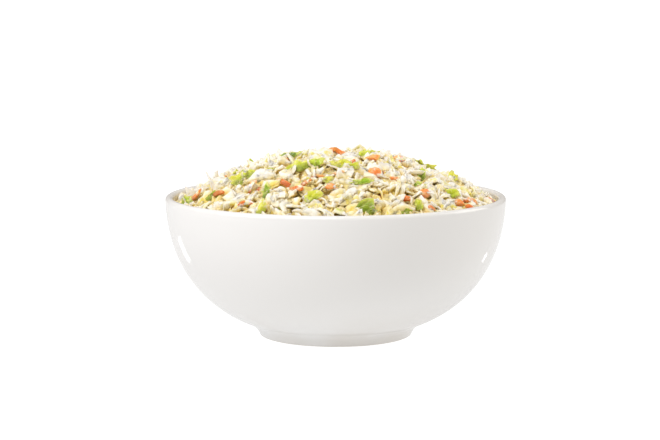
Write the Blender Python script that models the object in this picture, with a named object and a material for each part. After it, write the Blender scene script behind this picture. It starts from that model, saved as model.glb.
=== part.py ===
"""Coleslaw heaped in a round porcelain bowl.

Two solids in one body: the bowl, turned from one closed profile, and the coleslaw,
which fills the bowl and stands above its rim in an uneven dome.
The origin is the centre of the foot ring on the table, +Z is up, all sizes are metres.
"""

import math

import bmesh
import bpy
from mathutils import Vector, noise

MM = 0.001

# Bowl
BOWL_RADIUS = 78.0 * MM  # widest, just under the lip
BOWL_HEIGHT = 64.0 * MM
RIM_THICKNESS = 3.6 * MM
FLOOR_THICKNESS = 6.6 * MM  # of the inner floor above the table, on the axis

# The wall's outer side is a superellipse about a centre above the rim.
WALL_CENTRE_Z = 70.0 * MM
WALL_DEPTH = 70.0 * MM
WALL_EXPONENT_DOWN = 2.4
WALL_EXPONENT_OUT = 2.5
WALL_THICKENING = 4  # power of the cosine by which the wall thickens towards the floor

# Foot ring
FOOT_RADIUS = 35.0 * MM  # outer edge, on the table
FOOT_FACE = 3.4 * MM  # width of the flat ring that the bowl stands on
FOOT_EDGE = 0.5 * MM  # chamfer of that ring's two edges
FOOT_HEIGHT = 6.0 * MM  # where the foot's side meets the wall
FOOT_COVE = 0.7 * MM  # how far that side is hollowed
RECESS_HEIGHT = 2.4 * MM  # the bowl's underside inside the ring, above the table
RECESS_SLOPE = 1.2 * MM  # how far the ring's inner side leans inwards

# Coleslaw
GAP = 0.3 * MM  # between the coleslaw and the bowl
HEAP_HEIGHT = 20.8 * MM  # above the lip, on the axis
EDGE_DROP = 2.8 * MM  # of the coleslaw's edge below the lip
ROUGH_SIZES = ((24.0 * MM, 1.3 * MM), (12.0 * MM, 0.9 * MM))  # (wavelength, height)
ROUGH_ORIGIN = Vector((3.7, 1.3, 8.2))  # which stretch of the noise the heap uses
ROUGH_FADE = 6  # power by which the unevenness dies out towards the wall

# Clumps and dips on the dome: x, y, radius, height.
CLUMPS = (
    (26.0 * MM, -4.0 * MM, 10.0 * MM, 1.4 * MM),
    (54.0 * MM, 2.0 * MM, 7.0 * MM, 2.6 * MM),
    (-50.0 * MM, -6.0 * MM, 8.0 * MM, 1.0 * MM),
    (42.0 * MM, 4.0 * MM, 8.0 * MM, -2.2 * MM),
    (-35.0 * MM, 3.0 * MM, 8.0 * MM, -2.2 * MM),
    (-8.0 * MM, -34.0 * MM, 11.0 * MM, 1.6 * MM),
    (12.0 * MM, 40.0 * MM, 12.0 * MM, 1.5 * MM),
)

# Looks: colour, roughness
GLAZE = ((0.86, 0.85, 0.83), 0.12)
SALAD = ((0.80, 0.70, 0.42), 0.45)

# Facets
MERGE = 0.01 * MM  # closes the seam of a turned shape and its points on the axis
SHARP = math.radians(40)  # edges over this angle aren't shaded smooth
TURN_STEPS = 64
WALL_STEPS = 13
LIP_STEPS = 7
COVE_STEPS = 3
FILL_STEPS = 10
DOME_STEPS = 15


def clear_scene():
    """Removes every object of the startup scene."""
    for obj in list(bpy.data.objects):
        bpy.data.objects.remove(obj, do_unlink=True)


def finish(name, colour, roughness):
    """A plain Principled material that isn't metal."""
    material = bpy.data.materials.new(name)
    material.use_nodes = True
    shader = material.node_tree.nodes["Principled BSDF"]
    shader.inputs["Base Color"].default_value = (*colour, 1.0)
    shader.inputs["Roughness"].default_value = roughness
    shader.inputs["Metallic"].default_value = 0.0
    return material


def evenly(first, last, steps):
    """steps + 1 numbers from first to last, both ends exact."""
    return [first * (1 - i / steps) + last * i / steps for i in range(steps + 1)]


def wall_angle(z):
    """The superellipse's angle, from 0 on the axis to a quarter turn at its centre's height."""
    return math.acos(((WALL_CENTRE_Z - z) / WALL_DEPTH) ** (WALL_EXPONENT_DOWN / 2))


def wall_outside(angle):
    """Radius and height of the wall's outer side."""
    return Vector(
        (
            BOWL_RADIUS * math.sin(angle) ** (2 / WALL_EXPONENT_OUT),
            WALL_CENTRE_Z - WALL_DEPTH * math.cos(angle) ** (2 / WALL_EXPONENT_DOWN),
        )
    )


def wall_normal(angle):
    """Unit vector out of the wall, from the gradient of the superellipse's equation."""
    radius, z = wall_outside(angle)
    out = (radius / BOWL_RADIUS) ** (WALL_EXPONENT_OUT - 1) * WALL_EXPONENT_OUT / BOWL_RADIUS
    depth = (WALL_CENTRE_Z - z) / WALL_DEPTH
    down = depth ** (WALL_EXPONENT_DOWN - 1) * WALL_EXPONENT_DOWN / WALL_DEPTH
    return Vector((out, -down)).normalized()


def wall_inside(angle, gap=0.0):
    """Radius and height of the wall's inner side, or of a surface that stays gap inside it."""
    thicker = (FLOOR_THICKNESS - RIM_THICKNESS) * math.cos(angle) ** WALL_THICKENING
    point = wall_outside(angle) - wall_normal(angle) * (RIM_THICKNESS + thicker + gap)
    point.x = max(point.x, 0.0)
    return point


def lip_profile():
    """The rounded lip, from the wall's outer side over the top to its inner side."""
    angle = wall_angle(BOWL_HEIGHT - RIM_THICKNESS / 2)
    out = wall_normal(angle)
    centre = wall_outside(angle) - out * (RIM_THICKNESS / 2)
    start = math.atan2(out.y, out.x)
    turns = evenly(start, start + math.pi, LIP_STEPS)
    return angle, [
        centre + Vector((math.cos(t), math.sin(t))) * (RIM_THICKNESS / 2) for t in turns
    ]


def foot_profile():
    """The foot ring, from the axis under the bowl to where its outer side meets the wall."""
    inner = FOOT_RADIUS - FOOT_FACE - 2 * FOOT_EDGE
    points = [
        Vector((0.0, RECESS_HEIGHT)),
        Vector((inner - RECESS_SLOPE, RECESS_HEIGHT)),
        Vector((inner, FOOT_EDGE)),
        Vector((inner + FOOT_EDGE, 0.0)),
        Vector((FOOT_RADIUS - FOOT_EDGE, 0.0)),
    ]
    low = Vector((FOOT_RADIUS, FOOT_EDGE))
    high = wall_outside(wall_angle(FOOT_HEIGHT))
    across = Vector((low.y - high.y, high.x - low.x)).normalized()
    for share in evenly(0.0, 1.0, COVE_STEPS)[:-1]:
        sag = across * FOOT_COVE * math.sin(math.pi * share)
        points.append(low.lerp(high, share) + sag)
    return points


def bowl_profile():
    """The bowl's whole section as radius and height, from under the floor round to inside it."""
    rim_angle, lip = lip_profile()
    outside = evenly(wall_angle(FOOT_HEIGHT), rim_angle, WALL_STEPS)
    inside = evenly(rim_angle, 0.0, WALL_STEPS)
    points = foot_profile() + [wall_outside(a) for a in outside[:-1]] + lip
    return points + [wall_inside(a) for a in inside[1:]]


def turned(name, profile, material):
    """An object made by spinning a profile, which starts and ends on the axis, about Z."""
    mesh = bpy.data.meshes.new(name)
    work = bmesh.new()
    verts = [work.verts.new((point.x, 0.0, point.y)) for point in profile]
    edges = [work.edges.new(pair) for pair in zip(verts, verts[1:])]
    bmesh.ops.spin(
        work,
        geom=verts + edges,
        axis=(0, 0, 1),
        cent=(0, 0, 0),
        steps=TURN_STEPS,
        angle=2 * math.pi,
        use_merge=True,
    )
    bmesh.ops.remove_doubles(work, verts=work.verts, dist=MERGE)
    bmesh.ops.recalc_face_normals(work, faces=work.faces)
    work.to_mesh(mesh)
    work.free()
    obj = bpy.data.objects.new(name, mesh)
    bpy.context.scene.collection.objects.link(obj)
    mesh.materials.append(material)
    mesh.shade_smooth()
    mesh.set_sharp_from_angle(angle=SHARP)
    return obj


def edge_of_heap():
    """Radius and height of the ring where the coleslaw meets the wall."""
    return wall_inside(wall_angle(BOWL_HEIGHT - EDGE_DROP), GAP)


def dome_height(radius, edge):
    """Height of the smooth dome, a paraboloid from the heap's top to its edge."""
    top = BOWL_HEIGHT + HEAP_HEIGHT
    return edge.y + (top - edge.y) * (1 - (radius / edge.x) ** 2)


def unevenness(x, y, edge):
    """What the clumps and the loose packing add to the smooth dome at a place."""
    place = Vector((x, y, 0.0))
    added = 0.0
    for size, height in ROUGH_SIZES:
        added += height * noise.noise(place / size + ROUGH_ORIGIN)
    for clump_x, clump_y, radius, height in CLUMPS:
        away = math.hypot(x - clump_x, y - clump_y) / radius
        added += height * math.exp(-away * away)
    return added * (1 - (math.hypot(x, y) / edge.x) ** ROUGH_FADE)


def coleslaw_profile(edge):
    """The filling's section: up the inside of the wall, then over the dome to the axis."""
    angles = evenly(0.0, wall_angle(BOWL_HEIGHT - EDGE_DROP), FILL_STEPS)
    points = [wall_inside(a, GAP) for a in angles]
    radii = evenly(edge.x, 0.0, DOME_STEPS)
    return points + [Vector((r, dome_height(r, edge))) for r in radii[1:]]


def make_bowl():
    """The porcelain bowl with its foot ring."""
    return turned("bowl", bowl_profile(), finish("porcelain", *GLAZE))


def make_coleslaw():
    """The coleslaw as one solid, out to its uneven outline."""
    edge = edge_of_heap()
    obj = turned("coleslaw", coleslaw_profile(edge), finish("coleslaw", *SALAD))
    above_edge = [vertex for vertex in obj.data.vertices if vertex.co.z > edge.y + GAP]
    for vertex in above_edge:
        vertex.co.z += unevenness(vertex.co.x, vertex.co.y, edge)
    obj.data.update()
    return obj


def main():
    clear_scene()
    make_bowl()
    make_coleslaw()


main()
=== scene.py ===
"""Coleslaw heaped in a round porcelain bowl: surfaces, finishes, light and camera.

The bowl is turned from one profile. The coleslaw is a core with thousands of cut
pieces dropped on it one by one, each kind of piece joined into one mesh.
Lengths are metres; sizes are written in millimetres times MM.
"""

import logging
import math
from dataclasses import dataclass, field, replace
from enum import Enum

import bpy
import numpy as np
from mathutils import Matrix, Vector
from mathutils.bvhtree import BVHTree


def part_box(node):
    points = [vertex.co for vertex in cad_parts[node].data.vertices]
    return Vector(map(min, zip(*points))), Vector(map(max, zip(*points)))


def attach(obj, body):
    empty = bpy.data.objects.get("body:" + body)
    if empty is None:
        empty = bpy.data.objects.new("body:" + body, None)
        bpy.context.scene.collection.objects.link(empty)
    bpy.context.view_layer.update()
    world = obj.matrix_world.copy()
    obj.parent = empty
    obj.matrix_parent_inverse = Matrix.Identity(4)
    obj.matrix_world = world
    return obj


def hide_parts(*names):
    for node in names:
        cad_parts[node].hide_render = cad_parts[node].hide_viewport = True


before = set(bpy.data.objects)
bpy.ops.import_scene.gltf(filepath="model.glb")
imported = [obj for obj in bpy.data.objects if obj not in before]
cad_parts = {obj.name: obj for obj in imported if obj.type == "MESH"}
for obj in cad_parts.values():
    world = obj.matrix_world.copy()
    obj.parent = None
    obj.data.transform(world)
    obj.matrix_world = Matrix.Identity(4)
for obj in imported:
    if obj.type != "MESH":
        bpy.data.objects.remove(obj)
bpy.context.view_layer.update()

MM = 0.001
TURN = 2 * math.pi
GOLDEN_TURN = math.pi * (3 - math.sqrt(5))
CRISP = math.radians(55)  # edges over this angle aren't shaded smooth
SEED = 20

log = logging.getLogger("coleslaw")
Array = np.ndarray


class Slot(Enum):
    """Names of material slots for the bowl and the coleslaw."""

    PORCELAIN = "porcelain"
    COLESLAW = "coleslaw"


# ---------------------------------------------------------------- materials


def linear(hex_colour: str) -> tuple[float, float, float, float]:
    """Turns an sRGB hex colour into linear light.

    Args:
        hex_colour: Six hex digits, such as "F3EAC9".

    Returns:
        Red, green, blue and an alpha of 1.
    """
    srgb = np.array([int(hex_colour[i : i + 2], 16) for i in (0, 2, 4)]) / 255
    light = np.where(srgb <= 0.04045, srgb / 12.92, ((srgb + 0.055) / 1.055) ** 2.4)
    return (*(float(value) for value in light), 1.0)


def add_node(
    tree: bpy.types.NodeTree,
    kind: str,
    inputs: dict | None = None,
    stops: list[tuple[float, str]] | None = None,
    **settings: object,
) -> bpy.types.Node:
    """Adds a shader node with its settings and links.

    Args:
        tree: Node tree that gets the node.
        kind: Node type, such as "ShaderNodeTexNoise".
        inputs: Value, or output socket to link from, by input name or number.
        stops: Places and hex colours of a colour ramp.
        settings: Attributes set on the node.

    Returns:
        The new node.
    """
    node = tree.nodes.new(kind)
    for name, value in settings.items():
        setattr(node, name, value)
    for name, value in (inputs or {}).items():
        if isinstance(value, bpy.types.NodeSocket):
            tree.links.new(value, node.inputs[name])
        else:
            node.inputs[name].default_value = value
    if stops:
        elements = node.color_ramp.elements
        while len(elements) < len(stops):
            elements.new(1.0)
        for element, (place, colour) in zip(elements, stops):
            element.position = place
            element.color = linear(colour)
    return node


def new_tree(name: str) -> tuple[bpy.types.Material, bpy.types.NodeTree]:
    """Starts a material.

    Args:
        name: Material name.

    Returns:
        The material and its empty node tree.
    """
    material = bpy.data.materials.new(name)
    material.use_nodes = True
    material.node_tree.nodes.clear()
    return material, material.node_tree


def paint_over(
    tree: bpy.types.NodeTree,
    under: bpy.types.NodeSocket | tuple,
    value: bpy.types.NodeSocket,
    span: tuple[float, float],
    over: str,
    share: bpy.types.NodeSocket | float = 1.0,
) -> bpy.types.NodeSocket:
    """Lays a colour over another, more and more where a value rises through a span.

    Args:
        tree: Node tree.
        under: Colour underneath, or the socket that gives it.
        value: Output socket that tells where the colour goes.
        span: Values at which the colour starts and at which it is full.
        over: Hex colour laid on.
        share: How much of it shows where it is full.

    Returns:
        The new colour's output socket.
    """
    mask = add_node(
        tree,
        "ShaderNodeMapRange",
        {"Value": value, "From Min": span[0], "From Max": span[1], "To Max": share},
        interpolation_type="SMOOTHSTEP",
    )
    # A colour Mix node has its factor, A and B as sockets 0, 6 and 7, and its result as 2.
    inputs = {0: mask.outputs["Result"], 6: under, 7: linear(over)}
    return add_node(tree, "ShaderNodeMix", inputs, data_type="RGBA").outputs[2]


@dataclass(frozen=True)
class GlazedPorcelain:
    """Hard porcelain dipped in clear glaze: neutral white, mirror-smooth, faintly uneven."""

    body: str = "E4E3E1"
    pooled: str = "DAD5CE"  # glaze gathers thicker and warmer low on the bowl
    pool_height: float = 24 * MM
    cloud_size: float = 45 * MM
    cloud_span: tuple[float, float] = (0.35, 0.75)  # noise where the warmth starts and is full
    ripple_size: float = 30 * MM
    ripple_height: float = 0.02 * MM
    roughness: float = 0.08
    ior: float = 1.5

    def make(self) -> bpy.types.Material:
        """Builds the glaze's node tree.

        Returns:
            The material.
        """
        material, tree = new_tree("glazed_porcelain")
        place = add_node(tree, "ShaderNodeTexCoord").outputs["Object"]
        height = add_node(tree, "ShaderNodeSeparateXYZ", {0: place}).outputs["Z"]
        low = add_node(
            tree,
            "ShaderNodeMapRange",
            {"Value": height, "From Min": self.pool_height, "From Max": 0.0},
            interpolation_type="SMOOTHSTEP",
        ).outputs["Result"]
        cloud, ripple = (
            add_node(tree, "ShaderNodeTexNoise", {"Vector": place, "Scale": 1 / size}).outputs["Fac"]
            for size in (self.cloud_size, self.ripple_size)
        )
        colour = paint_over(tree, linear(self.body), cloud, self.cloud_span, self.pooled, low)
        inputs = {"Height": ripple, "Distance": self.ripple_height, "Strength": 1.0}
        bump = add_node(tree, "ShaderNodeBump", inputs)
        inputs = {
            "Base Color": colour,
            "Roughness": self.roughness,
            "IOR": self.ior,
            "Normal": bump.outputs["Normal"],
        }
        shader = add_node(tree, "ShaderNodeBsdfPrincipled", inputs)
        add_node(tree, "ShaderNodeOutputMaterial", {"Surface": shader.outputs[0]})
        return material


@dataclass(frozen=True)
class BarePorcelain:
    """Fired porcelain that the glaze is wiped off, so that it doesn't stick: matt and gritty."""

    body: str = "E3DED4"
    worn: str = "CDC6BA"
    stain_size: float = 6 * MM
    stain_span: tuple[float, float] = (0.4, 0.7)  # noise where the wear starts and is full
    grit_size: float = 0.4 * MM
    grit_height: float = 0.03 * MM
    roughness: float = 0.75

    def make(self) -> bpy.types.Material:
        """Builds the bare foot ring's node tree.

        Returns:
            The material.
        """
        material, tree = new_tree("bare_porcelain")
        place = add_node(tree, "ShaderNodeTexCoord").outputs["Object"]
        stain, grit = (
            add_node(tree, "ShaderNodeTexNoise", {"Vector": place, "Scale": 1 / size}).outputs["Fac"]
            for size in (self.stain_size, self.grit_size)
        )
        colour = paint_over(tree, linear(self.body), stain, self.stain_span, self.worn)
        inputs = {"Height": grit, "Distance": self.grit_height, "Strength": 1.0}
        bump = add_node(tree, "ShaderNodeBump", inputs)
        inputs = {
            "Base Color": colour,
            "Roughness": self.roughness,
            "Normal": bump.outputs["Normal"],
        }
        shader = add_node(tree, "ShaderNodeBsdfPrincipled", inputs)
        add_node(tree, "ShaderNodeOutputMaterial", {"Surface": shader.outputs[0]})
        return material


@dataclass(frozen=True)
class Vegetable:
    """A cut vegetable wetted by cream dressing: moist, a little see-through, patchily coated.

    tints are the colours of single pieces, by each piece's own tint value. rim is the colour
    of the cut edge, and vein that of the streaks in the flesh. dressed is the share of the
    surface that dressing covers. The colour laid on down in the gaps is painted shade: a warm,
    darker tone for the shade that falls between the pieces.
    A span is where a colour starts and where it is full.
    """

    name: str
    tints: tuple[tuple[float, str], ...]
    rim: str
    rim_share: float
    dressed: float
    rim_span: tuple[float, float] = (0.55, 1.0)
    vein: str = "F8F0DA"
    vein_share: float = 0.4
    vein_size: float = 2.0 * MM
    vein_span: tuple[float, float] = (0.5, 0.62)
    # Painted shade: a warm, darker colour laid on pieces down in the gaps, where shade falls.
    gap_shade: str = "EAC85A"
    gap_shade_share: float = 0.76
    gap_shade_span: tuple[float, float] = (0.24, 1.0)
    dressing: str = "FDF7EA"
    patch_size: float = 3.6 * MM
    patch_blur: float = 0.08
    fibre_size: float = 2.0 * MM
    fibre_height: float = 0.42 * MM
    roughness: float = 0.45
    ior: float = 1.38
    glow: float = 0.8  # subsurface weight
    glow_depth: float = 3.0 * MM
    glow_colour: tuple[float, float, float] = (1.0, 0.97, 0.9)

    def make(self) -> bpy.types.Material:
        """Builds the vegetable's node tree.

        Returns:
            The material.
        """
        material, tree = new_tree(self.name)
        place = add_node(tree, "ShaderNodeTexCoord").outputs["Object"]
        tint, edge, depth = (
            add_node(tree, "ShaderNodeAttribute", attribute_name=name).outputs["Fac"]
            for name in ("tint", "edge", "depth")
        )
        patterns = ((self.vein_size, 4.0), (self.patch_size, 4.0), (self.fibre_size, 3.0))
        streak, patch, fibre = (
            add_node(
                tree, "ShaderNodeTexNoise", {"Vector": place, "Scale": 1 / size, "Detail": detail}
            ).outputs["Fac"]
            for size, detail in patterns
        )
        ramp = add_node(tree, "ShaderNodeValToRGB", {"Fac": tint}, stops=list(self.tints))
        colour = ramp.outputs["Color"]
        colour = paint_over(tree, colour, edge, self.rim_span, self.rim, self.rim_share)
        colour = paint_over(tree, colour, streak, self.vein_span, self.vein, self.vein_share)
        # Noise is mostly between 0.3 and 0.7, so the cut-off moves over that range.
        cut = 0.7 - 0.4 * self.dressed
        coat = (cut - self.patch_blur, cut + self.patch_blur)
        colour = paint_over(tree, colour, patch, coat, self.dressing)
        # Painted shade: the deeper a point lies in the gaps, the more of the warm gap colour it
        # takes.
        colour = paint_over(tree, colour, depth, self.gap_shade_span, self.gap_shade, self.gap_shade_share)
        inputs = {"Height": fibre, "Distance": self.fibre_height, "Strength": 1.0}
        bump = add_node(tree, "ShaderNodeBump", inputs)
        inputs = {
            "Base Color": colour,
            "Roughness": self.roughness,
            "IOR": self.ior,
            "Subsurface Weight": self.glow,
            "Subsurface Radius": self.glow_colour,
            "Subsurface Scale": self.glow_depth,
            "Normal": bump.outputs["Normal"],
        }
        shader = add_node(tree, "ShaderNodeBsdfPrincipled", inputs)
        add_node(tree, "ShaderNodeOutputMaterial", {"Surface": shader.outputs[0]})
        return material


WHITE_CABBAGE = Vegetable(
    "white_cabbage",
    ((0.0, "FAEFDC"), (0.3, "F6E8C2"), (0.6, "F0DE96"), (0.78, "E4D462"), (1.0, "BEC74C")),
    rim="FBF1DA",
    rim_share=0.6,
    dressed=0.5,
)
CABBAGE_RIB = Vegetable(
    "cabbage_rib",
    ((0.0, "FAF0DC"), (0.6, "F6E8C0"), (1.0, "ECDC98")),
    rim="FBF1DA",
    rim_share=0.4,
    dressed=0.35,
)
GREEN_LEAF = Vegetable(
    "green_cabbage_leaf",
    ((0.0, "DCE04A"), (0.4, "BCD236"), (0.75, "90B42C"), (1.0, "5E7C30")),
    rim="D4DA70",
    rim_share=0.5,
    dressed=0.12,
    vein="DEE488",
    vein_share=0.6,
    vein_size=2.4 * MM,
    # painted shade for the gaps, in dark olive
    gap_shade="6E7E1C",
    glow_colour=(0.8, 1.0, 0.4),
)
CARROT = Vegetable(
    "carrot",
    ((0.0, "F0AA68"), (0.5, "EA8A40"), (1.0, "DC742A")),
    rim="F4B47A",
    rim_share=0.5,
    dressed=0.3,
    vein="F4BE8A",
    vein_share=0.6,
    # painted shade for the gaps, in dark orange-brown
    gap_shade="B0602A",
    glow_colour=(1.0, 0.6, 0.3),
)
DRESSING = Vegetable(
    "cream_dressing",
    ((0.0, "FCF4E4"), (1.0, "F9EDD0")),
    rim="FCF4E4",
    rim_share=0.3,
    dressed=0.5,
    roughness=0.32,
    fibre_height=0.04 * MM,
)
# Painted shade, in part: the core shows only down in the gaps, and its darker warm tan stands both
# for dressing pooled under the pieces and for the shade in the gaps.
HEAP_CORE = Vegetable(
    "dressing_and_gap_shade_core",
    ((0.0, "DEBF6A"), (1.0, "DEBF6A")),
    rim="DEBF6A",
    rim_share=0.0,
    dressed=0.1,
    vein_share=0.2,
    gap_shade_share=0.0,
)


# ---------------------------------------------------------------- surfaces


def mm(*sizes: float) -> tuple[float, ...]:
    """Turns millimetres into metres."""
    return tuple(size * MM for size in sizes)


def around(columns: int) -> Array:
    """Angles of points spaced evenly round a circle."""
    return np.arange(columns) / columns * TURN


def turned_about_z(section: Array, columns: int) -> Array:
    """Carries each point of a section round Z, as a circle of its radius at its height.

    Args:
        section: Radius and height of each point.
        columns: Points of one circle.

    Returns:
        Points by xyz, circle after circle.
    """
    radius, height = section[:, :1], section[:, 1:]
    x, y = radius * np.cos(around(columns)), radius * np.sin(around(columns))
    return np.stack([x, y, np.repeat(height, columns, axis=1)], -1).reshape(-1, 3)


def closed_form_faces(rows: int, columns: int, count: int) -> tuple[Array, Array]:
    """Faces of closed forms, each a tube of rows rings closed by a point at either end.

    A form's points are its rings one after another, then its first and its last pole.

    Args:
        rows: Rings of one form.
        columns: Points of one ring.
        count: Number of forms.

    Returns:
        Quads and triangles as point numbers, all turned the same way.
    """
    ring = np.arange(columns)
    after = (ring + 1) % columns
    start = np.arange(rows - 1)[:, None] * columns
    quads = np.stack(
        [start + ring, start + after, start + columns + after, start + columns + ring], -1
    ).reshape(-1, 4)
    last = (rows - 1) * columns
    pole = np.full(columns, rows * columns)
    first_fan = np.stack([pole, after, ring], -1)
    last_fan = np.stack([pole + 1, last + ring, last + after], -1)
    triangles = np.concatenate([first_fan, last_fan])
    step = (np.arange(count) * (rows * columns + 2))[:, None, None]
    return (quads + step).reshape(-1, 4), (triangles + step).reshape(-1, 3)


def signed_volume(points: Array, quads: Array, triangles: Array) -> float:
    """Volume inside closed faces, negative if they are inside out.

    Adds up the volume between the middle of the points and each triangle.

    Args:
        points: Corner places.
        quads: Four-sided faces.
        triangles: Three-sided faces.

    Returns:
        The volume in cubic metres.
    """
    every = np.concatenate([quads[:, [0, 1, 2]], quads[:, [0, 2, 3]], triangles])
    corners = (points - points.mean(axis=0))[every]
    return float(np.linalg.det(corners).sum()) / 6


def make_piece(
    name: str, points: Array, rows: int, columns: int, attributes: dict[str, Array]
) -> bpy.types.Object:
    """Makes one mesh object of closed forms that are alike.

    Args:
        name: The piece's name.
        points: Forms by points by xyz.
        rows: Rings of one form.
        columns: Points of one ring.
        attributes: Values from 0 to 1, one for each point, by name.

    Returns:
        The object, smooth and facing out, with its place in its mesh.
    """
    quads, triangles = closed_form_faces(rows, columns, len(points))
    flat = points.reshape(-1, 3)
    form = points.shape[1]
    own_quads = quads[quads.max(axis=1) < form]
    own_triangles = triangles[triangles.max(axis=1) < form]
    if signed_volume(flat[:form], own_quads, own_triangles) < 0:
        quads, triangles = quads[:, ::-1], triangles[:, ::-1]
    mesh = bpy.data.meshes.new(name)
    mesh.vertices.add(len(flat))
    mesh.vertices.foreach_set("co", flat.astype(np.float32).ravel())
    corners = np.concatenate([quads.ravel(), triangles.ravel()])
    mesh.loops.add(len(corners))
    mesh.loops.foreach_set("vertex_index", corners.astype(np.int32))
    starts = np.concatenate(
        [np.arange(len(quads)) * 4, quads.size + np.arange(len(triangles)) * 3]
    )
    mesh.polygons.add(len(starts))
    mesh.polygons.foreach_set("loop_start", starts.astype(np.int32))
    for attribute, values in attributes.items():
        layer = mesh.attributes.new(attribute, "FLOAT", "POINT")
        layer.data.foreach_set("value", values.astype(np.float32).ravel())
    mesh.update(calc_edges=True)
    mesh.validate()
    mesh.shade_smooth()
    mesh.set_sharp_from_angle(angle=CRISP)
    piece = bpy.data.objects.new(name, mesh)
    bpy.context.scene.collection.objects.link(piece)
    return piece


def settle_in_frame(piece: bpy.types.Object, slot: Slot, *nodes: str) -> None:
    """Rides the piece on the one body and hides the CAD nodes that it stands for.

    Args:
        piece: The new piece.
        slot: Material slot of the record. Not used.
        nodes: CAD nodes that it replaces.
    """
    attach(piece, "root")
    if nodes:
        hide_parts(*nodes)
    log.info("%s: %d points", piece.name, len(piece.data.vertices))


# ---------------------------------------------------------------- bowl


@dataclass
class Bowl:
    """The bowl, turned about Z from one closed profile.

    The wall's outer side is a superellipse: with d the depth below its centre as a share of
    wall_depth, and s the radius as a share of radius, d^exponent_down + s^exponent_out = 1.
    """

    radius: float = 78 * MM
    rim_thickness: float = 3.6 * MM
    floor_thickness: float = 6.6 * MM
    wall_depth: float = 70 * MM
    thickening: int = 4  # power of the cosine by which the wall thickens to the floor
    exponent_down: float = 2.4
    exponent_out: float = 2.5
    foot_radius: float = 35 * MM
    foot_face: float = 3.4 * MM
    foot_edge: float = 0.5 * MM
    foot_height: float = 6 * MM
    foot_cove: float = 0.7 * MM
    recess_height: float = 2.4 * MM
    recess_slope: float = 1.2 * MM
    recess_steps: int = 6
    face_steps: int = 5
    round_steps: int = 6
    cove_steps: int = 12
    wall_steps: int = 48
    lip_steps: int = 16
    inner_steps: int = 40
    lookup_steps: int = 60
    columns: int = 320
    height: float = field(default_factory=lambda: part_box("bowl")[1][2])

    def wall_angle(self, z: float) -> float:
        """The superellipse's angle at a height, 0 on the axis."""
        depth = (self.wall_depth - z) / self.wall_depth
        return math.acos(depth ** (self.exponent_down / 2))

    def rim_angle(self) -> float:
        """The superellipse's angle where the lip starts."""
        return self.wall_angle(self.height - self.rim_thickness / 2)

    def outside(self, angle: Array) -> Array:
        """The wall's outer side, by the superellipse's equation in its angle.

        Args:
            angle: Angles, 0 on the axis and a quarter turn at the centre's height.

        Returns:
            Radius and height at each angle.
        """
        radius = self.radius * np.sin(angle) ** (2 / self.exponent_out)
        depth = self.wall_depth * np.cos(angle) ** (2 / self.exponent_down)
        return np.stack([radius, self.wall_depth - depth], -1)

    def outward(self, angle: Array) -> Array:
        """The outer side's normals: the gradient of the superellipse's equation.

        Args:
            angle: The superellipse's angles.

        Returns:
            Unit vectors in radius and height.
        """
        radius, z = self.outside(angle).T
        out = (radius / self.radius) ** (self.exponent_out - 1) * self.exponent_out / self.radius
        depth = (self.wall_depth - z) / self.wall_depth
        down = depth ** (self.exponent_down - 1) * self.exponent_down / self.wall_depth
        normal = np.stack([out, -down], -1)
        return normal / np.linalg.norm(normal, axis=-1, keepdims=True)

    def inside(self, angle: Array, gap: float = 0.0) -> Array:
        """The inner side: the outer side moved in by a thickness that grows to the floor.

        Args:
            angle: The superellipse's angles.
            gap: Extra distance in from the wall.

        Returns:
            Radius and height at each angle.
        """
        thicker = (self.floor_thickness - self.rim_thickness) * np.cos(angle) ** self.thickening
        thickness = (self.rim_thickness + thicker + gap)[:, None]
        points = self.outside(angle) - self.outward(angle) * thickness
        points[:, 0] = np.maximum(points[:, 0], 0.0)
        return points

    def lip(self) -> Array:
        """The lip: half a circle from the outer side over the top to the inner side.

        Returns:
            Radius and height of each point.
        """
        angle = np.array([self.rim_angle()])
        out = self.outward(angle)[0]
        half = self.rim_thickness / 2
        centre = self.outside(angle)[0] - out * half
        turn = math.atan2(out[1], out[0]) + np.linspace(0, math.pi, self.lip_steps)
        return centre + half * np.stack([np.cos(turn), np.sin(turn)], -1)

    def foot(self) -> Array:
        """The foot: a low recess, the ring's flat face with rounded edges, and a hollow side.

        Returns:
            Radius and height of each point, from the axis out to where the wall starts.
        """
        edge, outer = self.foot_edge, self.foot_radius
        inner = outer - self.foot_face - 2 * edge
        quarter = np.linspace(0, math.pi / 2, self.round_steps)
        recess = np.linspace(0, inner - self.recess_slope, self.recess_steps)
        face = np.linspace(inner + edge, outer - edge, self.face_steps)[1:-1]
        bottom = [
            np.stack([recess, np.full_like(recess, self.recess_height)], -1),
            np.stack([inner + edge - edge * np.cos(quarter), edge - edge * np.sin(quarter)], -1),
            np.stack([face, np.zeros_like(face)], -1),
            np.stack([outer - edge + edge * np.sin(quarter), edge - edge * np.cos(quarter)], -1),
        ]
        low = np.array([outer, edge])
        high = self.outside(np.array([self.wall_angle(self.foot_height)]))[0]
        across = np.array([low[1] - high[1], high[0] - low[0]])
        across = across / np.linalg.norm(across)
        share = np.linspace(0, 1, self.cove_steps)[1:-1, None]
        side = low + (high - low) * share + across * self.foot_cove * np.sin(math.pi * share)
        return np.concatenate([*bottom, side])

    def profile(self) -> Array:
        """The whole section, from the axis under the bowl round to the axis inside it.

        Returns:
            Radius and height of each point.
        """
        start, rim = self.wall_angle(self.foot_height), self.rim_angle()
        outer = self.outside(np.linspace(start, rim, self.wall_steps)[:-1])
        inner = self.inside(np.linspace(rim, 0.0, self.inner_steps)[1:])
        return np.concatenate([self.foot(), outer, self.lip(), inner])

    def inner_radius(self, z: Array) -> Array:
        """Looks up the radius of the inner side.

        Args:
            z: Heights.

        Returns:
            The radius at each height, and one outside the bowl above the lip.
        """
        section = self.inside(np.linspace(0.0, self.rim_angle(), self.lookup_steps))
        radius = np.interp(z, section[:, 1], section[:, 0])
        return np.where(z > self.height, self.radius + self.rim_thickness, radius)

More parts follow.
